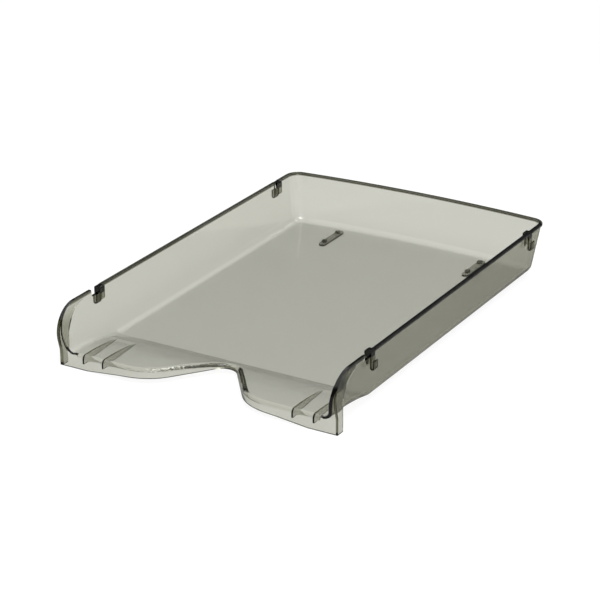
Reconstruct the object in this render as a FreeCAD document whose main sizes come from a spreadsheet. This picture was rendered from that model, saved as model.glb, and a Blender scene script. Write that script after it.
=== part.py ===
import FreeCAD, Part
import Sketcher
import math
import os

# A letter tray of clear smoke-grey plastic, open at the front, with a finger notch in its
# front edge. Four stacking clips drop over its rim and two feet press into its floor.
# Lengths are millimetres. While a piece is modelled, X runs across the tray, Y runs back
# from the face of the front skirt and Z runs up from the desk. Every finished piece is then
# moved along Y, so that the origin lies under the middle of the tray.

SIZES = {
    # Tray as a whole
    "tray_width": 255.0,
    "tray_depth": 375.0,
    "tray_height": 49.4,
    "cut_overrun": 6.0,
    # Floor and walls
    "floor_height": 5.8,
    "floor_thickness": 2.3,
    "wall_thickness": 2.3,
    "side_lean": 7.0,
    "back_lean": 6.0,
    "back_bow": 7.0,
    "wall_corner_radius": 12.2,
    "floor_fillet_radius": 7.0,
    # Rim
    "rim_overhang": 0.8,
    "rim_thickness": 2.4,
    "rim_corner_radius": 13.0,
    "rim_edge_radius": 0.7,
    # Front edge: apron, skirt and the arms that sweep up to the rim
    "apron_depth": 63.7,
    "apron_rise": 6.9,
    "apron_bend_place": 32.0,
    "apron_bend_radius": 215.0,
    "crease_radius": 4.0,
    "front_thickness": 2.3,
    "front_lean": 9.5,
    "arm_radius": 22.0,
    "return_width": 8.3,
    "return_drop": 4.2,
    "return_reach": 28.0,
    "return_radius": 24.0,
    "return_end_radius": 1.8,
    "lobe_edge_radius": 2.6,
    "skirt_root_radius": 2.5,
    # Finger notch
    "notch_crease_gap": 12.3,
    "notch_mouth": 90.4,
    "notch_apex": 12.0,
    "notch_radius": 11.2,
    "lobe_radius": 39.2,
    "arch_height": 4.2,
    "arch_width": 202.0,
    "arch_top_width": 120.0,
    "arch_radius": 300.0,
    # Gussets under the apron
    "gusset_wall_gap": 5.6,
    "gusset_pair_gap": 18.5,
    "gusset_thickness": 1.5,
    "gusset_reach": 48.0,
    "gusset_foot_height": 4.6,
    # Stacking clips on the rim
    "front_clip_place": 53.3,
    "rear_clip_setback": 39.5,
    "clip_length": 6.0,
    "clip_thickness": 1.2,
    "clip_clearance": 0.3,
    "clip_inner_drop": 11.5,
    "clip_round": 1.2,
    "cup_drop": 15.8,
    "cup_width": 1.3,
    "cup_lip_height": 7.4,
    "cup_round": 2.2,
    "cup_inner_round": 0.7,
    "rim_gap_drop": 5.6,
    "finger_gap": 8.0,
    # Rear feet
    "foot_wall_gap": 48.2,
    "foot_setback": 33.4,
    "foot_length": 38.0,
    "foot_width": 6.4,
    "foot_pad_thickness": 1.6,
    "post_spacing": 24.0,
    "post_diameter": 5.0,
    "peg_diameter": 3.0,
    "peg_height": 1.4,
    "peg_clearance": 0.05,
}

doc = FreeCAD.newDocument("letter_tray")
sheet = doc.addObject("Spreadsheet::Sheet", "sizes")
for row, (alias, number) in enumerate(SIZES.items(), start=1):
    sheet.set(f"A{row}", alias.replace("_", " "))
    sheet.set(f"B{row}", str(number))
    sheet.setAlias(f"B{row}", alias)
doc.recompute()


class Size:
    """A length with its value and the spreadsheet expression that it comes from."""

    def __init__(self, value, text):
        self.value = value
        self.text = text

    def __add__(self, other):
        other = as_size(other)
        return Size(self.value + other.value, f"({self.text} + {other.text})")

    def __sub__(self, other):
        other = as_size(other)
        return Size(self.value - other.value, f"({self.text} - {other.text})")

    def __mul__(self, other):
        other = as_size(other)
        return Size(self.value * other.value, f"({self.text} * {other.text})")

    def __truediv__(self, other):
        other = as_size(other)
        return Size(self.value / other.value, f"({self.text} / {other.text})")

    def __neg__(self):
        return Size(-self.value, f"(0 - {self.text})")


def as_size(item):
    """A plain number, such as a share or zero, as a Size."""
    return item if isinstance(item, Size) else Size(float(item), f"{float(item):.6f}")


def size(alias):
    """The Size of one cell of the sheet."""
    return Size(float(sheet.get(alias)), f"sizes.{alias}")


def hypotenuse(a, b):
    """The long side of a right triangle with legs a and b."""
    return Size(math.hypot(a.value, b.value), f"sqrt({a.text} * {a.text} + {b.text} * {b.text})")


def smaller(a, b):
    """The smaller of two lengths."""
    return Size(min(a.value, b.value), f"min({a.text}; {b.text})")


def corner(x, y, radius=None):
    """A corner of an outline, rounded if it has a radius."""
    return as_size(x), as_size(y), radius


def sketch_on(body, name, role, height=None):
    """A sketch on one of the body's origin planes, or at a height over it."""
    sketch = body.newObject("Sketcher::SketchObject", name)
    plane = next(item for item in body.Origin.OriginFeatures if item.Role == role)
    sketch.AttachmentSupport = [(plane, "")]
    sketch.MapMode = "FlatFace"
    if height is not None:
        sketch.setExpression("AttachmentOffset.Base.z", height.text)
    return sketch


def bind(sketch, kind, *places_and_size):
    """Adds one dimension to a sketch and ties it to the sheet."""
    *places, length = places_and_size
    index = sketch.addConstraint(Sketcher.Constraint(kind, *places, length.value))
    name = f"{kind.lower()}{index}"
    sketch.renameConstraint(index, name)
    sketch.setExpression(f"Constraints.{name}", length.text)


def place(sketch, geometry, point, x, y):
    """Holds a point of a sketch at x, y from the sketch's origin."""
    bind(sketch, "DistanceX", -1, 1, geometry, point, x)
    bind(sketch, "DistanceY", -1, 1, geometry, point, y)


def draw(sketch, corners):
    """Draws a closed outline through its corners, with tangent arcs at the rounded ones."""
    count = len(corners)
    points = [FreeCAD.Vector(x.value, y.value, 0) for x, y, _ in corners]
    arrive, leave, arcs = [], [], []
    for index, (_, _, radius) in enumerate(corners):
        point = points[index]
        back = (points[index - 1] - point).normalize()
        ahead = (points[(index + 1) % count] - point).normalize()
        if radius is None:
            arrive.append(point)
            leave.append(point)
            arcs.append(None)
            continue
        half_angle = back.getAngle(ahead) / 2
        reach = radius.value / math.tan(half_angle)
        middle = (back + ahead).normalize() * (radius.value / math.sin(half_angle))
        start, end = point + back * reach, point + ahead * reach
        turns_left = back.cross(ahead).z < 0
        first, last = (start, end) if turns_left else (end, start)
        centre = point + middle
        angles = [math.atan2((p - centre).y, (p - centre).x) for p in (first, last)]
        circle = Part.Circle(centre, FreeCAD.Vector(0, 0, 1), radius.value)
        arrive.append(start)
        leave.append(end)
        arcs.append((Part.ArcOfCircle(circle, angles[0], angles[1]), turns_left))
    first_line = sketch.GeometryCount
    for index in range(count):
        line = Part.LineSegment(leave[index], arrive[(index + 1) % count])
        sketch.addGeometry(line, False)
    for index, (x, y, radius) in enumerate(corners):
        before = first_line + (index - 1) % count
        after = first_line + index
        if radius is None:
            sketch.addConstraint(Sketcher.Constraint("Coincident", before, 2, after, 1))
            place(sketch, after, 1, x, y)
            continue
        arc, turns_left = arcs[index]
        arc_geometry = sketch.addGeometry(arc, False)
        tip = sketch.addGeometry(Part.Point(points[index]), True)
        start, end = (1, 2) if turns_left else (2, 1)
        sketch.addConstraint(Sketcher.Constraint("Tangent", before, 2, arc_geometry, start))
        sketch.addConstraint(Sketcher.Constraint("Tangent", after, 1, arc_geometry, end))
        sketch.addConstraint(Sketcher.Constraint("PointOnObject", tip, 1, before))
        sketch.addConstraint(Sketcher.Constraint("PointOnObject", tip, 1, after))
        bind(sketch, "Radius", arc_geometry, radius)
        place(sketch, tip, 1, x, y)


def draw_circle(sketch, x, y, diameter):
    """Draws a circle by its centre and diameter."""
    centre = FreeCAD.Vector(x.value, y.value, 0)
    circle = Part.Circle(centre, FreeCAD.Vector(0, 0, 1), diameter.value / 2)
    geometry = sketch.addGeometry(circle, False)
    bind(sketch, "Diameter", geometry, diameter)
    place(sketch, geometry, 3, x, y)


def pad(body, name, sketch, length, symmetric=False):
    """Raises a sketch along its normal, or evenly to both sides of it."""
    feature = body.newObject("PartDesign::Pad", name)
    feature.Profile = sketch
    feature.setExpression("Length", length.text)
    feature.SideType = "Symmetric" if symmetric else "One side"
    doc.recompute()
    return feature


def check_cut(feature, volume_before):
    """Makes a cut and sees that it took something away."""
    doc.recompute()
    if not feature.Shape.Volume < volume_before:
        raise RuntimeError(f"{feature.Name} cuts nothing")


def cut_through(body, name, sketch):
    """Cuts a sketch's outline right through the body, to both sides of its plane."""
    volume_before = body.Shape.Volume
    feature = body.newObject("PartDesign::Pocket", name)
    feature.Profile = sketch
    feature.Type = "ThroughAll"
    feature.SideType = "Symmetric"
    check_cut(feature, volume_before)
    return feature


def cut_to(body, name, sketch, depth, along_normal=False):
    """Cuts a sketch's outline into the body to a depth, against the sketch's normal or along it."""
    volume_before = body.Shape.Volume
    feature = body.newObject("PartDesign::Pocket", name)
    feature.Profile = sketch
    feature.setExpression("Length", depth.text)
    feature.Reversed = along_normal
    check_cut(feature, volume_before)


def fillet(body, name, radius, wanted):
    """Rounds the edges of the body for which wanted(edge) holds."""
    base = body.Tip
    edges = base.Shape.Edges
    names = [f"Edge{index}" for index, edge in enumerate(edges, start=1) if wanted(edge)]
    if not names:
        raise RuntimeError(f"{name} finds no edge")
    feature = body.newObject("PartDesign::Fillet", name)
    feature.Base = (base, names)
    feature.setExpression("Radius", radius.text)
    doc.recompute()
    return feature


LEVEL_SHARE, UPRIGHT_SHARE = 0.9, 0.05


def face_tilts(body, edge):
    """How far each face at an edge of the body looks up, from 1 to -1."""
    tilts = []
    for face in body.Tip.Shape.ancestorsOfType(edge, Part.Face):
        u_low, u_high, v_low, v_high = face.ParameterRange
        tilts.append(face.normalAt((u_low + u_high) / 2, (v_low + v_high) / 2).z)
    return tilts


def is_upright(tilts):
    """Whether one of the faces stands upright."""
    return min(abs(tilt) for tilt in tilts) < UPRIGHT_SHARE


def new_body(name):
    """An empty body whose label is the piece's name."""
    body = doc.addObject("PartDesign::Body", name)
    body.Label = name
    return body


def same(a, b):
    """Whether two lengths agree, but for rounding."""
    length_tolerance = 0.001
    return abs(a - b) < length_tolerance


# Sizes of the tray that several pieces share
half_width = size("tray_width") / 2
height = size("tray_height")
overrun = size("cut_overrun")
floor_top = size("floor_height")
floor_under = floor_top - size("floor_thickness")
landing_top = floor_top + size("apron_rise")
landing_under = floor_under + size("apron_rise")
lean_height = height - floor_under
side_slope = size("side_lean") / lean_height
back_slope = size("back_lean") / lean_height
ONE = as_size(1)
side_wall_across = size("wall_thickness") * hypotenuse(ONE, side_slope)
back_wall_across = size("wall_thickness") * hypotenuse(ONE, back_slope)

# The apron slopes down from its bend to the crease. The bend's arc starts behind the root of the
# skirt and ends before the crease begins.
bend_share = 0.9
landing_run = size("apron_bend_place") - size("front_thickness") - size("skirt_root_radius")
slope_run = size("apron_depth") - size("apron_bend_place")
slope_length = hypotenuse(slope_run, size("apron_rise"))
bend_reach = smaller(slope_length, landing_run) * bend_share
longest_bend = bend_reach * size("apron_rise") / (slope_length - slope_run)
apron_bend = smaller(size("apron_bend_radius"), longest_bend)

# The finger notch ends in front of the crease.
notch_depth = size("apron_depth") - size("notch_crease_gap")

# The back bows forward towards its ends: an arc through the rim's middle and both its ends.
# The sweep of the cut that shapes it reaches well past the sides.
bow_radius = (half_width * half_width / size("back_bow") + size("back_bow")) / 2
BOW_SWEEP_DEGREES = 20

# The arm's front edge leans forward from the landing and rounds into the rim. The arc's
# foremost point is the front end of the tray.
front_rise = height - landing_top
front_length = hypotenuse(front_rise, size("front_lean"))
arm_centre = size("arm_radius") * (front_length + size("front_lean")) / front_rise - size("front_lean")
front_bulge = size("arm_radius") - arm_centre
rear_end = size("tray_depth") - front_bulge
middle = (rear_end - front_bulge) / 2


def side_face(z):
    """How far from the middle the outer face of a side wall is at height z."""
    return half_width - size("rim_overhang") - side_slope * (height - z)


def side_inner(z):
    """How far from the middle the inner face of a side wall is at height z."""
    return side_face(z) - side_wall_across


def back_face(z):
    """How far back the outer face of the back wall is at height z."""
    return rear_end - size("rim_overhang") - back_slope * (height - z)


def back_inner(z):
    """How far back the inner face of the back wall is at height z."""
    return back_face(z) - back_wall_across


# How far the arms reach to the sides, where the flat of the floor ends there, and where the
# rear fittings stand
arm_half_width = side_face(height)
floor_half_width = side_inner(floor_top) - size("floor_fillet_radius")
rear_clip_place = rear_end - size("rear_clip_setback")
foot_place = rear_end - size("foot_setback")
foot_across = side_face(floor_under) - size("foot_wall_gap")


def trim_sides(body, face):
    """Cuts a block to the two leaning planes whose distance from the middle is face(z)."""
    sketch = sketch_on(body, f"{body.Name}_flanks", "XZ_Plane")
    low, high = -overrun, height + overrun + overrun
    far = half_width + overrun
    for side in (1, -1):
        draw(sketch, [
            corner(face(low) * side, low),
            corner(far * side, low),
            corner(far * side, high),
            corner(face(high) * side, high),
        ])
    return cut_through(body, f"{body.Name}_trim", sketch)


def trim_back(body, name, face):
    """Cuts a block's back to a wall at face(z) in the middle, which bows forward towards its ends.

    The wall is part of a cone round an upright line that stands far in front of the tray.
    """
    sketch = sketch_on(body, f"{name}_side", "YZ_Plane")
    axis = rear_end - bow_radius
    sketch.setExpression("AttachmentOffset.Base.x", axis.text)
    low, high = -overrun, height + overrun + overrun
    far = rear_end + (size("back_bow") + overrun) * 2 - axis
    draw(sketch, [
        corner(face(low) - axis, low),
        corner(far, low),
        corner(far, high),
        corner(face(high) - axis, high),
    ])
    volume_before = body.Shape.Volume
    feature = body.newObject("PartDesign::Groove", f"{name}_trim")
    feature.Profile = sketch
    feature.ReferenceAxis = (sketch, ["V_Axis"])
    feature.Midplane = True
    feature.Angle = BOW_SWEEP_DEGREES
    check_cut(feature, volume_before)


def is_rear_corner(edge):
    """An edge that climbs where a side wall meets the back wall."""
    low, high = sorted(edge.Vertexes, key=lambda vertex: vertex.Z)
    climbs = high.Z - low.Z > front_rise.value / 2
    at_side = abs(low.X) > half_width.value / 2
    at_back = low.Y > middle.value and high.Y > middle.value
    return climbs and at_side and at_back


def is_floor_edge(edge):
    """An edge along the foot of a side wall, of the back wall or of a corner."""
    box = edge.BoundBox
    low = box.ZMax < landing_top.value + floor_top.value / 2
    runs_back = box.YLength > box.XLength + box.ZLength
    at_back = box.YMin > middle.value + middle.value / 2
    return low and (at_back or runs_back)


def tray_core():
    """The space inside the tray, over its floor and apron and between its walls."""
    body = new_body("tray_core")
    front = -size("front_lean") - overrun
    top = height + overrun
    sketch = sketch_on(body, "core_side", "YZ_Plane")
    draw(sketch, [
        corner(front, landing_top),
        corner(size("apron_bend_place"), landing_top, apron_bend),
        corner(size("apron_depth"), floor_top, size("crease_radius")),
        corner(rear_end + overrun, floor_top),
        corner(rear_end + overrun, top),
        corner(front, top),
    ])
    pad(body, "core_block", sketch, size("tray_width") + overrun, symmetric=True)
    trim_sides(body, side_inner)
    trim_back(body, "core_back", back_inner)
    fillet(body, "core_corners", size("wall_corner_radius") - size("wall_thickness"), is_rear_corner)
    fillet(body, "core_floor_edge", size("floor_fillet_radius"), is_floor_edge)
    return body


def arm_webs(body):
    """The front web of each arm and the rim behind it: one strip that follows the arm's edge."""
    thick = size("front_thickness")
    lean = size("front_lean")
    inset = thick * front_length / front_rise
    for name, start in (("right", floor_half_width), ("left", -arm_half_width)):
        sketch = sketch_on(body, f"{name}_web_side", "YZ_Plane", start)
        draw(sketch, [
            corner(0, 0),
            corner(thick, 0),
            corner(thick, landing_top + thick * (front_length - front_rise) / lean),
            corner(inset - lean * (front_rise - thick) / front_rise, height - thick,
                   size("arm_radius") - thick),
            corner(size("apron_depth"), height - thick),
            corner(size("apron_depth"), height),
            corner(-lean, height, size("arm_radius")),
            corner(0, landing_top),
        ])
        pad(body, f"{name}_web", sketch, arm_half_width - floor_half_width)


def rim_plate(body):
    """The flange round the sides and back, before the tray's inside is cut out of it."""
    sketch = sketch_on(body, "rim_outline", "XY_Plane", height - size("rim_thickness"))
    start, end = size("front_clip_place"), rear_end + overrun
    draw(sketch, [
        corner(-half_width, start),
        corner(half_width, start),
        corner(half_width, end),
        corner(-half_width, end),
    ])
    pad(body, "rim", sketch, size("rim_thickness"))
    trim_back(body, "rim_back", lambda z: rear_end)

    def is_rim_corner(edge):
        """An upright edge where the rim turns from a side to the back."""
        box = edge.BoundBox
        upright = same(box.ZLength, size("rim_thickness").value)
        return upright and same(abs(box.XMin), half_width.value) and box.YMin > middle.value

    fillet(body, "rim_corners", size("rim_corner_radius"), is_rim_corner)


def arm_returns(body):
    """The flat return along the outer edge of each arm."""
    thick = size("front_thickness")
    under_rim = height - size("return_drop")
    for name, start in (("right", arm_half_width - thick), ("left", -arm_half_width)):
        sketch = sketch_on(body, f"{name}_return_side", "YZ_Plane", start)
        draw(sketch, [
            corner(0, 0),
            corner(size("return_width"), 0),
            corner(size("return_width"), under_rim, size("return_radius")),
            corner(size("return_reach"), under_rim, size("return_end_radius")),
            corner(size("return_reach"), height),
            corner(-size("front_lean"), height, size("arm_radius")),
            corner(0, landing_top),
        ])
        pad(body, f"{name}_return", sketch, thick)


def notched_front(body):
    """Cuts the finger notch out of the apron and hangs the skirt along the new front edge."""
    depth = notch_depth
    mouth = size("notch_mouth") / 2
    apex = size("notch_apex") / 2
    run = mouth - apex
    apex_share = 0.95
    widest = apex * apex_share * depth / (hypotenuse(run, depth) - run)
    concave, convex = smaller(size("notch_radius"), widest), size("lobe_radius")
    far = floor_half_width
    sketch = sketch_on(body, "notch_plan", "XY_Plane")
    draw(sketch, [
        corner(-far, -overrun - overrun),
        corner(far, -overrun - overrun),
        corner(far, 0),
        corner(mouth, 0, convex),
        corner(apex, depth, concave),
        corner(-apex, depth, concave),
        corner(-mouth, 0, convex),
        corner(-far, 0),
    ])
    cut_through(body, "finger_notch", sketch)
    thick = size("front_thickness")
    shift = thick * (hypotenuse(run, depth) - run) / depth
    sketch = sketch_on(body, "skirt_plan", "XY_Plane")
    draw(sketch, [
        corner(-far, 0),
        corner(-mouth, 0, convex),
        corner(-apex, depth, concave),
        corner(apex, depth, concave),
        corner(mouth, 0, convex),
        corner(far, 0),
        corner(far, thick),
        corner(mouth + shift, thick, convex - thick),
        corner(apex + shift, depth + thick, concave + thick),
        corner(-apex - shift, depth + thick, concave + thick),
        corner(-mouth - shift, thick, convex - thick),
        corner(-far, thick),
    ])
    pad(body, "skirt", sketch, landing_top)

    def is_skirt_root(edge):
        """An edge between the inside of the skirt and the underside of the apron."""
        box = edge.BoundBox
        at_apron = box.ZMin > floor_under.value / 2 and box.YMax < (depth + thick * 2).value
        behind_front = box.YMin > thick.value / 2
        tilts = face_tilts(body, edge)
        return at_apron and behind_front and is_upright(tilts) and min(tilts) < -LEVEL_SHARE

    fillet(body, "skirt_root", size("skirt_root_radius"), is_skirt_root)


def gussets(body):
    """Two ribs each side that brace the skirt against the underside of the apron."""
    thick = size("gusset_thickness")
    slope = size("apron_rise") / slope_run
    reach = size("gusset_reach")
    seat = size("front_thickness") / 2
    sunk = size("floor_thickness") / 2
    reach_under = floor_under + slope * (size("apron_depth") - reach)
    outer = floor_half_width - size("gusset_wall_gap")
    inner = outer - size("gusset_pair_gap")
    places = {"right_inner": inner, "right_outer": outer, "left_inner": -inner, "left_outer": -outer}
    for name, x in places.items():
        sketch = sketch_on(body, f"{name}_gusset_side", "YZ_Plane", x - thick / 2)
        draw(sketch, [
            corner(seat, size("gusset_foot_height")),
            corner(reach, reach_under),
            corner(reach, reach_under + sunk),
            corner(size("apron_bend_place"), landing_under + sunk),
            corner(seat, landing_under + sunk),
        ])
        pad(body, f"{name}_gusset", sketch, thick)


def skirt_arch(body):
    """Lifts the middle of the skirt's lower edge off the desk in a shallow arch."""
    sketch = sketch_on(body, "arch_front", "XZ_Plane", overrun)
    half, top = size("arch_width") / 2, size("arch_top_width") / 2
    draw(sketch, [
        corner(-half, -overrun),
        corner(half, -overrun),
        corner(half, 0),
        corner(top, size("arch_height"), size("arch_radius")),
        corner(-top, size("arch_height"), size("arch_radius")),
        corner(-half, 0),
    ])
    cut_to(body, "arch", sketch, overrun + notch_depth + size("front_thickness") * 2)


def rim_gaps(body):
    """Gaps in the rim for the clips. The front pair is longer, so that a finger can lift the clip."""
    sketch = sketch_on(body, "rim_gap_side", "YZ_Plane")
    reach = size("clip_length") / 2 + size("clip_clearance")
    bottom, top = height - size("rim_gap_drop"), height + overrun
    front, rear = size("front_clip_place"), rear_clip_place
    for start, end in ((front - reach - size("finger_gap"), front + reach), (rear - reach, rear + reach)):
        draw(sketch, [corner(start, bottom), corner(end, bottom), corner(end, top), corner(start, top)])
    cut_through(body, "rim_gap", sketch)


def peg_holes(body):
    """Blind holes in the underside of the floor for the pegs of the feet."""
    sketch = sketch_on(body, "peg_hole_plan", "XY_Plane", floor_under)
    bore = size("peg_diameter") + size("peg_clearance") * 2
    for x in (foot_across, -foot_across):
        for y in post_places():
            draw_circle(sketch, x, y, bore)
    cut_to(body, "peg_hole", sketch, size("peg_height") + size("peg_clearance"), along_normal=True)


def post_places():
    """How far back the two posts of a foot stand."""
    half = size("post_spacing") / 2
    return foot_place - half, foot_place + half


def round_edges(body):
    """Rounds the outer edges of the rim and the edge where the apron turns down into the skirt."""
    wall_share = 0.45

    def is_rim_edge(edge):
        """A level edge along the outside of the rim, at the top or the underside of its plate."""
        box = edge.BoundBox
        heights = (height.value, height.value - size("rim_thickness").value)
        level = any(same(box.ZMin, z) and same(box.ZMax, z) for z in heights)
        at_side = same(abs(box.XMin), half_width.value) and same(abs(box.XMax), half_width.value)
        return level and (at_side or same(box.YMax, rear_end.value))

    def is_front_edge(edge):
        """An edge between the top of the apron and an upright face of the skirt."""
        box = edge.BoundBox
        if box.ZMax > landing_top.value + size("floor_thickness").value or box.YMax > middle.value:
            return False
        tilts = face_tilts(body, edge)
        return is_upright(tilts) and max(tilts) > LEVEL_SHARE

    rim_round = smaller(size("rim_edge_radius"), size("rim_thickness") * wall_share)
    fillet(body, "rim_edges", rim_round, is_rim_edge)
    front_share = 1.2
    front_round = smaller(size("lobe_edge_radius"), size("front_thickness") * front_share)
    fillet(body, "front_edge", front_round, is_front_edge)


def tray_shell():
    """The one-piece tray: floor, three walls, rim, arms, apron, skirt and gussets."""
    core = tray_core()
    body = new_body("tray_shell")
    sketch = sketch_on(body, "trough_side", "YZ_Plane")
    draw(sketch, [
        corner(0, landing_under),
        corner(size("apron_bend_place"), landing_under, apron_bend),
        corner(size("apron_depth"), floor_under, size("crease_radius")),
        corner(rear_end + overrun, floor_under),
        corner(rear_end + overrun, height),
        corner(-size("front_lean"), height, size("arm_radius")),
        corner(0, landing_top),
    ])
    pad(body, "trough", sketch, size("tray_width"), symmetric=True)
    trim_sides(body, side_face)
    trim_back(body, "wall_back", back_face)
    fillet(body, "wall_corners", size("wall_corner_radius"), is_rear_corner)
    fillet(body, "base_edge", size("floor_fillet_radius") + size("floor_thickness"), is_floor_edge)
    notched_front(body)
    arm_webs(body)
    rim_plate(body)
    arm_returns(body)
    gussets(body)
    hollow = body.newObject("PartDesign::Boolean", "hollow")
    hollow.setObjects([core])
    hollow.Type = "Cut"
    doc.recompute()
    skirt_arch(body)
    rim_gaps(body)
    peg_holes(body)
    round_edges(body)
    return body


def stacking_clip(name, side, along):
    """A saddle that fills a rim gap up to the rim's top, with a tongue inside the wall and a cup outside."""
    body = new_body(name)
    thick, clear = size("clip_thickness"), size("clip_clearance")
    seat = height - size("rim_gap_drop")
    tongue_bottom = height - size("clip_inner_drop")
    tongue_outer = side_inner(tongue_bottom) - clear
    tongue_inner = tongue_outer - thick
    cup_bottom = height - size("cup_drop")
    ledge = cup_bottom + thick
    leg_inner = side_face(seat) + clear
    leg_outer = leg_inner + thick
    lip_inner = leg_outer + size("cup_width")
    lip_outer = lip_inner + thick
    lip_top = cup_bottom + size("cup_lip_height")
    wall_share = 0.45
    bend = smaller(size("clip_round"), thick * (wall_share + wall_share))
    cup_bend = smaller(size("cup_round"), (lip_outer - leg_inner) * wall_share)
    inner_bend = smaller(size("cup_inner_round"), size("cup_width") * wall_share)
    sketch = sketch_on(body, f"{name}_front", "XZ_Plane", -(along + size("clip_length") / 2))
    draw(sketch, [
        corner(tongue_inner * side, tongue_bottom, bend),
        corner(tongue_outer * side, tongue_bottom),
        corner(tongue_outer * side, seat),
        corner(leg_inner * side, seat),
        corner(leg_inner * side, cup_bottom, cup_bend),
        corner(lip_outer * side, cup_bottom, cup_bend),
        corner(lip_outer * side, lip_top),
        corner(lip_inner * side, lip_top),
        corner(lip_inner * side, ledge, inner_bend),
        corner(leg_outer * side, ledge, inner_bend),
        corner(leg_outer * side, height, bend),
        corner(tongue_inner * side, height, bend),
    ])
    pad(body, f"{name}_saddle", sketch, size("clip_length"))
    return body


def rear_foot(name, side):
    """A pad that stands on the desk, with two posts whose pegs press into the floor."""
    body = new_body(name)
    x = foot_across * side
    half_w, half_l = size("foot_width") / 2, size("foot_length") / 2
    near, far = foot_place - half_l, foot_place + half_l
    end_round_share = 0.45
    radius = size("foot_width") * end_round_share
    sketch = sketch_on(body, f"{name}_plan", "XY_Plane")
    draw(sketch, [
        corner(x - half_w, near, radius),
        corner(x + half_w, near, radius),
        corner(x + half_w, far, radius),
        corner(x - half_w, far, radius),
    ])
    pad(body, f"{name}_pad", sketch, size("foot_pad_thickness"))
    posts = sketch_on(body, f"{name}_post_plan", "XY_Plane", size("foot_pad_thickness"))
    pegs = sketch_on(body, f"{name}_peg_plan", "XY_Plane", floor_under)
    for y in post_places():
        draw_circle(posts, x, y, size("post_diameter"))
        draw_circle(pegs, x, y, size("peg_diameter"))
    pad(body, f"{name}_posts", posts, floor_under - size("foot_pad_thickness"))
    pad(body, f"{name}_pegs", pegs, size("peg_height"))
    return body


pieces = [tray_shell()]
for end, along in (("front", size("front_clip_place")), ("rear", rear_clip_place)):
    for hand, side in (("left", -1), ("right", 1)):
        pieces.append(stacking_clip(f"{end}_{hand}_stacking_clip", side, along))
for hand, side in (("left", -1), ("right", 1)):
    pieces.append(rear_foot(f"{hand}_rear_foot", side))
for piece in pieces:
    piece.setExpression("Placement.Base.y", (-middle).text)
doc.recompute()

# Nothing is written unless every object is sound
for item in doc.Objects:
    if "Invalid" in item.State or "Error" in item.State:
        raise RuntimeError(f"{item.Label} failed: {item.State}")
for piece in pieces:
    if piece.Shape.isNull() or not piece.Shape.isValid():
        raise RuntimeError(f"{piece.Label} has no sound shape")
os.makedirs("parts", exist_ok=True)
for piece in pieces:
    box = piece.Shape.BoundBox
    print(f"{piece.Label}: {len(piece.Shape.Solids)} solid, {piece.Shape.Volume:.1f} mm3, "
          f"x {box.XMin:.2f} {box.XMax:.2f}, y {box.YMin:.2f} {box.YMax:.2f}, "
          f"z {box.ZMin:.2f} {box.ZMax:.2f}")
    piece.Shape.exportStep(f"parts/{piece.Label}.step")
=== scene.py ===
# %% [markdown]
# # A clear smoke-grey letter tray
# The tray is one moulding of clear plastic: a flat floor, three leaning walls, a thin rim and a
# low front edge with a finger notch. Four small clips sit on its rim and two feet under its rear.
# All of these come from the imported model, in metres, standing on the desk at height zero. This
# lesson gives them smooth shading, a clear smoke-grey plastic, a studio and a camera.

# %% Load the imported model
import math
import bpy
import numpy as np
from mathutils import Matrix, Vector

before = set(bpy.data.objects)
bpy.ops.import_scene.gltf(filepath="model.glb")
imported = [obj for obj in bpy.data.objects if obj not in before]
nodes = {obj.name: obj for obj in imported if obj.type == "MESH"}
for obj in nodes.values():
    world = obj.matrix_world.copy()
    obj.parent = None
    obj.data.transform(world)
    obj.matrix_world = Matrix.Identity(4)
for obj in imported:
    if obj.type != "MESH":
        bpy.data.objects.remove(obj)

scene = bpy.context.scene
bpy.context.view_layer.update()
print("pieces:", ", ".join(sorted(nodes)))

# %% [markdown]
# ## Two helpers for nodes
# Shading, materials and the room's light are all trees of nodes, and each tree is made in the same
# two moves: add a node with its values, then link the sockets. Two short functions do that, so
# that the cells below read as lists of what is in each tree. A node's settings come before its
# values, because some settings decide which sockets the node has.

# %% Add a node, link sockets
def add_node(tree, kind, values=None, **settings):
    """Adds a node to a tree, makes its settings and then fills in its input sockets."""
    node = tree.nodes.new(kind)
    for setting, choice in settings.items():
        setattr(node, setting, choice)
    for socket, value in (values or {}).items():
        node.inputs[socket].default_value = value
    return node


def link_sockets(tree, *pairs):
    """Links pairs of sockets, each an output and the input that it feeds."""
    for source, target in pairs:
        tree.links.new(source, target)


# %% [markdown]
# ## Smooth shading
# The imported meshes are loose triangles. Clear plastic shows every facet, because light bends at
# each one, so the shading has to be smooth over fillets and sharp at real edges. A small node
# group does both without touching the mesh: it merges the triangles' corners, shades all faces
# smooth and keeps each edge sharp whose faces meet at more than a set angle. A Weighted Normal
# modifier then lets the large flat faces decide the shading at their own edges, so that the floor
# stays flat right up to its fillet.

# %% Node group: merged corners and sharp edges
MERGE_DISTANCE = 0.00001
SHARP_ANGLE = math.radians(44)


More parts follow.
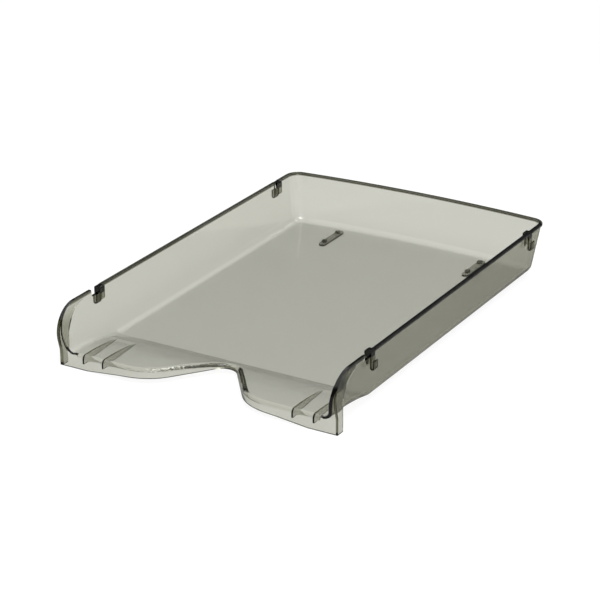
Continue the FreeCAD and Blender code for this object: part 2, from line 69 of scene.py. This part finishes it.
def smooth_by_angle_group():
    """Node group: merge corners, shade faces smooth, then mark edges over the angle as sharp."""
    group = bpy.data.node_groups.new("smooth_by_angle", "GeometryNodeTree")
    for side in ("INPUT", "OUTPUT"):
        group.interface.new_socket("Geometry", in_out=side, socket_type="NodeSocketGeometry")
    start = add_node(group, "NodeGroupInput")
    merge = add_node(group, "GeometryNodeMergeByDistance", {"Distance": MERGE_DISTANCE})
    smooth_faces = add_node(group, "GeometryNodeSetShadeSmooth", domain="FACE")
    angle = add_node(group, "GeometryNodeInputMeshEdgeAngle")
    sharp = add_node(
        group, "FunctionNodeCompare", {"B": SHARP_ANGLE}, data_type="FLOAT", operation="GREATER_THAN"
    )
    sharp_edges = add_node(group, "GeometryNodeSetShadeSmooth", {"Shade Smooth": False}, domain="EDGE")
    end = add_node(group, "NodeGroupOutput")
    link_sockets(
        group,
        (start.outputs["Geometry"], merge.inputs["Geometry"]),
        (merge.outputs["Geometry"], smooth_faces.inputs["Geometry"]),
        (angle.outputs["Unsigned Angle"], sharp.inputs["A"]),
        (smooth_faces.outputs["Geometry"], sharp_edges.inputs["Geometry"]),
        (sharp.outputs["Result"], sharp_edges.inputs["Selection"]),
        (sharp_edges.outputs["Geometry"], end.inputs["Geometry"]),
    )
    return group


shading_group = smooth_by_angle_group()
print("node group:", shading_group.name, "with", len(shading_group.nodes), "nodes")

# %% Smooth shading on each piece
FLAT_FACE_WEIGHT = 100

for node in nodes.values():
    shading = node.modifiers.new("smooth_by_angle", "NODES")
    shading.node_group = shading_group
    weighted = node.modifiers.new("flat_faces_decide", "WEIGHTED_NORMAL")
    weighted.mode = "FACE_AREA"
    weighted.weight = FLAT_FACE_WEIGHT
    weighted.keep_sharp = True
print("smooth shading on", len(nodes), "pieces")

# %% [markdown]
# ## Clear smoke-grey plastic
# The real material is a polished clear styrene with a grey dye. Seen across one wall it passes
# about half of the light, and seen along a wall or into an edge it turns almost black, because
# the light goes further through the dye. A flat see-through colour can't do that. So the surface
# is plain clear glass-like plastic, and the dye is a volume that absorbs light along its way.
# The dye takes a little more blue than red and green, which gives the olive cast. The polish
# isn't perfect: faint flow waves from moulding bend reflections a little, and handling leaves
# slightly duller patches. Both come from noise on the piece's own coordinates, in metres.

# %% Material: clear plastic with dye inside
CLEAR = (1.0, 1.0, 1.0, 1.0)
STYRENE_IOR = 1.55
PATCHES_PER_METRE = 45.0
PATCH_DETAIL = 3.0
PATCH_FROM = 0.35
PATCH_FULL = 0.75
DULL_PATCH_TIMES = 2.0
WAVES_PER_METRE = 14.0
WAVE_DETAIL = 1.0
SMOKE_DYE = 610.0
SMOKE_COLOUR = (0.665, 0.665, 0.595)
TRAY_ROUGHNESS = 0.06
TRAY_WAVE_HEIGHT = 0.00004


def clear_smoke_plastic(name, dye_per_metre, dye_colour, roughness, wave_height):
    """Clear plastic: transmission at the surface, absorption inside, waves and dull patches by noise."""
    material = bpy.data.materials.new(name)
    material.use_nodes = True
    tree = material.node_tree
    tree.nodes.clear()
    output = add_node(tree, "ShaderNodeOutputMaterial")
    surface = add_node(tree, "ShaderNodeBsdfPrincipled", {
        "Base Color": CLEAR, "Transmission Weight": 1.0, "IOR": STYRENE_IOR,
    })
    dye = add_node(tree, "ShaderNodeVolumeAbsorption", {
        "Color": (*dye_colour, 1.0), "Density": dye_per_metre,
    })
    place = add_node(tree, "ShaderNodeTexCoord")
    patches = add_node(tree, "ShaderNodeTexNoise", {"Scale": PATCHES_PER_METRE, "Detail": PATCH_DETAIL})
    dullness = add_node(tree, "ShaderNodeMapRange", {
        "From Min": PATCH_FROM, "From Max": PATCH_FULL,
        "To Min": roughness, "To Max": roughness * DULL_PATCH_TIMES,
    })
    waves = add_node(tree, "ShaderNodeTexNoise", {"Scale": WAVES_PER_METRE, "Detail": WAVE_DETAIL})
    bump = add_node(tree, "ShaderNodeBump", {"Strength": 1.0, "Distance": wave_height})
    link_sockets(
        tree,
        (place.outputs["Object"], patches.inputs["Vector"]),
        (place.outputs["Object"], waves.inputs["Vector"]),
        (patches.outputs["Fac"], dullness.inputs["Value"]),
        (dullness.outputs["Result"], surface.inputs["Roughness"]),
        (waves.outputs["Fac"], bump.inputs["Height"]),
        (bump.outputs["Normal"], surface.inputs["Normal"]),
        (surface.outputs["BSDF"], output.inputs["Surface"]),
        (dye.outputs["Volume"], output.inputs["Volume"]),
    )
    return material


tray_plastic = clear_smoke_plastic(
    "clear_smoke", SMOKE_DYE, SMOKE_COLOUR, TRAY_ROUGHNESS, TRAY_WAVE_HEIGHT
)
print("plastic:", tray_plastic.name, "with", len(tray_plastic.node_tree.nodes), "nodes")

# %% [markdown]
# The clips look nearly black on the rim. A black paint would hide their inner edges, so theirs is
# the same clear plastic with a few times as much dye and a slightly smoother skin. The feet are
# seen through the floor, and the tray's own plastic is dark enough for them.

# %% The clips' plastic, and a finish for each piece
CLIP_DYE_TIMES = 3.5
CLIP_ROUGHNESS = 0.05
CLIP_WAVE_HEIGHT = 0.00002

clip_plastic = clear_smoke_plastic(
    "clear_smoke_fitting", CLIP_DYE_TIMES * SMOKE_DYE, SMOKE_COLOUR, CLIP_ROUGHNESS, CLIP_WAVE_HEIGHT
)
for name, node in nodes.items():
    finish = clip_plastic if name.endswith("clip") else tray_plastic
    node.data.materials.clear()
    node.data.materials.append(finish)
    print(name, "is finished in", finish.name)

# %% [markdown]
# On the real tray the rim is a dark line, because there the eye looks down into the length of the
# wall below it. The thin rim alone, in front of a white ground, lets too much light through to show
# that. More dye in the rim would mean cutting it off the moulding, so that shade is painted into the
# surface: it passes less light from the rim's underside upwards. That is the top of the tray less the
# rim's thickness, and a hair less, so that rounding can't leave patches on the underside.

# %% Painted shade on the rim
# Painted shade: the rim's surface passes only this share of the light. It stands in for the dark that the
# long path down the wall gives.
RIM_THICKNESS = 0.0024
ROUNDING_ROOM = 0.00001
RIM_PAINTED_SHADE = (0.2, 0.2, 0.17)


def top_of(piece):
    """The height of a piece's highest vertex, from all its coordinates in one array."""
    coordinates = np.empty(3 * len(piece.data.vertices))
    piece.data.vertices.foreach_get("co", coordinates)
    return coordinates[2::3].max()


def paint_shade_above(material, height, shade):
    """Paints shade into what the surface passes: clear up to a height on the piece, painted shade above
    it.
    """
    tree = material.node_tree
    place = add_node(tree, "ShaderNodeTexCoord")
    parts = add_node(tree, "ShaderNodeSeparateXYZ")
    above = add_node(tree, "ShaderNodeMath", {1: height}, operation="GREATER_THAN")
    painted_shade_mix = add_node(tree, "ShaderNodeMix", {"A": CLEAR, "B": (*shade, 1.0)}, data_type="RGBA")
    surface = next(n for n in tree.nodes if n.bl_idname == "ShaderNodeBsdfPrincipled")
    link_sockets(
        tree,
        (place.outputs["Object"], parts.inputs["Vector"]),
        (parts.outputs["Z"], above.inputs[0]),
        (above.outputs["Value"], painted_shade_mix.inputs["Factor"]),
        (painted_shade_mix.outputs["Result"], surface.inputs["Base Color"]),
    )


# The painted shade starts just under the rim's underside.
rim_underside = top_of(nodes["tray_shell"]) - RIM_THICKNESS
paint_shade_above(tray_plastic, rim_underside - ROUNDING_ROOM, RIM_PAINTED_SHADE)
print("rim: darker from", round(1000 * rim_underside, 1), "mm up")

# %% [markdown]
# ## The studio
# Clear things are easiest to read in bright-field light: a white ground behind them, a bright
# ceiling above and a dim room around. Then the flat walls show only the white that comes through
# them, and the edges, which gather light from the dim room, turn dark and draw the outline. The
# ground is a matt sheet that also glows by itself, like a light table, so that it comes out white
# while the tray still shades it. The camera sees that glow directly and through the plastic. In
# mirror reflections it is much weaker, as if the sheet ended near the tray, because a white
# reflection would wash out the dark outer face of the wall that is next to the camera.

# %% Ground
GROUND_HALF_SIZE = 6.0
GROUND_DROP = 0.0004

ground_mesh = bpy.data.meshes.new("ground")
corners = GROUND_HALF_SIZE * np.array([[-1, -1], [1, -1], [1, 1], [-1, 1]])
ground_points = np.column_stack([corners, np.full(len(corners), -GROUND_DROP)])
ground_mesh.from_pydata(ground_points.tolist(), [], [(0, 1, 2, 3)])
ground = bpy.data.objects.new("ground", ground_mesh)
scene.collection.objects.link(ground)
print("ground:", 2 * GROUND_HALF_SIZE, "m across")

# %% Material: light table
GROUND_GREY = 0.14
GROUND_GLOW = 0.90
MIRRORED_GLOW = 0.12


def light_table_sheet():
    """A matt sheet with a glow: full for camera and transmission rays, weak for mirrored ones."""
    material = bpy.data.materials.new("light_table")
    material.use_nodes = True
    tree = material.node_tree
    tree.nodes.clear()
    output = add_node(tree, "ShaderNodeOutputMaterial")
    both = add_node(tree, "ShaderNodeAddShader")
    matt = add_node(tree, "ShaderNodeBsdfDiffuse", {"Color": (GROUND_GREY, GROUND_GREY, GROUND_GREY, 1.0)})
    glow = add_node(tree, "ShaderNodeEmission")
    path = add_node(tree, "ShaderNodeLightPath")
    seen = add_node(tree, "ShaderNodeMath", operation="MAXIMUM")
    full = add_node(tree, "ShaderNodeMath", {1: GROUND_GLOW}, operation="MULTIPLY")
    mirrored = add_node(tree, "ShaderNodeMath", {1: MIRRORED_GLOW}, operation="MULTIPLY")
    level = add_node(tree, "ShaderNodeMath", operation="MAXIMUM")
    link_sockets(
        tree,
        (path.outputs["Is Camera Ray"], seen.inputs[0]),
        (path.outputs["Is Transmission Ray"], seen.inputs[1]),
        (seen.outputs["Value"], full.inputs[0]),
        (path.outputs["Is Glossy Ray"], mirrored.inputs[0]),
        (full.outputs["Value"], level.inputs[0]),
        (mirrored.outputs["Value"], level.inputs[1]),
        (level.outputs["Value"], glow.inputs["Strength"]),
        (matt.outputs["BSDF"], both.inputs[0]),
        (glow.outputs["Emission"], both.inputs[1]),
        (both.outputs["Shader"], output.inputs["Surface"]),
    )
    return material


ground_mesh.materials.append(light_table_sheet())
print("ground is finished in", ground_mesh.materials[0].name)

# %% [markdown]
# The room's light depends only on how high one looks: dim near the horizon, white overhead, with
# a soft step between. A picture of a real room would do too, but a formula is enough here. The
# height of the view direction is the sine of its elevation.

# %% Bright ceiling, dim room
WHITE = (1.0, 1.0, 1.0, 1.0)
ROOM_LEVEL = 0.08
CEILING_LEVEL = 1.0
CEILING_FROM = math.sin(math.radians(26))
CEILING_FULL = math.sin(math.radians(42))

world = bpy.data.worlds.new("studio")
scene.world = world
world.use_nodes = True
room = world.node_tree
direction = add_node(room, "ShaderNodeTexCoord")
parts = add_node(room, "ShaderNodeSeparateXYZ")
step = add_node(
    room,
    "ShaderNodeMapRange",
    {"From Min": CEILING_FROM, "From Max": CEILING_FULL, "To Min": ROOM_LEVEL, "To Max": CEILING_LEVEL},
    interpolation_type="SMOOTHSTEP",
)
sky = room.nodes["Background"]
sky.inputs["Color"].default_value = WHITE
link_sockets(
    room,
    (direction.outputs["Generated"], parts.inputs["Vector"]),
    (parts.outputs["Z"], step.inputs["Value"]),
    (step.outputs["Result"], sky.inputs["Strength"]),
)
print("room:", ROOM_LEVEL, "at the horizon,", CEILING_LEVEL, "overhead")

# %% [markdown]
# Two soft boxes add the bright lines. A low one in front of the tray lights the upright rear
# corner and the skirt, where the plastic faces it squarely, and a wide one overhead lights the
# bend of the front edge. Both are weak, because the walls are read by the white behind them, and
# the camera doesn't see the boxes themselves.

# %% Soft boxes in front and overhead
def soft_box(name, position, aim, width, height, power):
    """A rectangular lamp at a position, facing the point that it is aimed at."""
    lamp = bpy.data.lights.new(name, "AREA")
    lamp.shape = "RECTANGLE"
    lamp.size = width
    lamp.size_y = height
    lamp.energy = power
    box = bpy.data.objects.new(name, lamp)
    box.location = position
    box.rotation_euler = (Vector(aim) - Vector(position)).to_track_quat("-Z", "Y").to_euler()
    box.visible_camera = False
    scene.collection.objects.link(box)


soft_box(
    "front_soft_box",
    position=(0.75, -1.3, 0.26),
    aim=(0, 0, 0.03),
    width=1.2,
    height=0.36,
    power=2.0,
)
soft_box(
    "overhead_soft_box",
    position=(0.4, -0.35, 1.1),
    aim=(-0.03, -0.16, 0.01),
    width=0.8,
    height=0.6,
    power=9.0,
)

# %% [markdown]
# ## The camera
# The photograph was taken from the front right, a little above, with a long lens. The angles,
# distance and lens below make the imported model's edges lie on those of the photograph.

# %% Camera
CAMERA_AZIMUTH = math.radians(30.449)
CAMERA_ELEVATION = math.radians(23.203)
CAMERA_ROLL = math.radians(-0.181)
CAMERA_DISTANCE = 1.886
CAMERA_TARGET = Vector((-0.00989, -0.00669, 0.01483))
FOCAL_PIXELS = 2267.56
PICTURE_PIXELS = 600
SENSOR_MM = 36.0

lens = bpy.data.cameras.new("camera")
lens.sensor_width = SENSOR_MM
lens.lens = FOCAL_PIXELS * SENSOR_MM / PICTURE_PIXELS
camera = bpy.data.objects.new("camera", lens)
scene.collection.objects.link(camera)
backward = Vector((
    math.sin(CAMERA_AZIMUTH) * math.cos(CAMERA_ELEVATION),
    -math.cos(CAMERA_AZIMUTH) * math.cos(CAMERA_ELEVATION),
    math.sin(CAMERA_ELEVATION),
))
rightward = (-backward).cross(Vector((0, 0, 1))).normalized()
upward = rightward.cross(-backward)
cosine, sine = math.cos(CAMERA_ROLL), math.sin(CAMERA_ROLL)
rolled_right = cosine * rightward + sine * upward
rolled_up = -sine * rightward + cosine * upward
turn = Matrix((rolled_right, rolled_up, backward)).transposed().to_4x4()
camera.matrix_world = Matrix.Translation(CAMERA_TARGET + CAMERA_DISTANCE * backward) @ turn
scene.camera = camera
print("camera:", round(lens.lens, 1), "mm lens at", [round(v, 3) for v in camera.matrix_world.translation])

# %% [markdown]
# ## Last settings
# The plain Standard view shows colours as they are written.

# %% View
scene.view_settings.view_transform = "Standard"
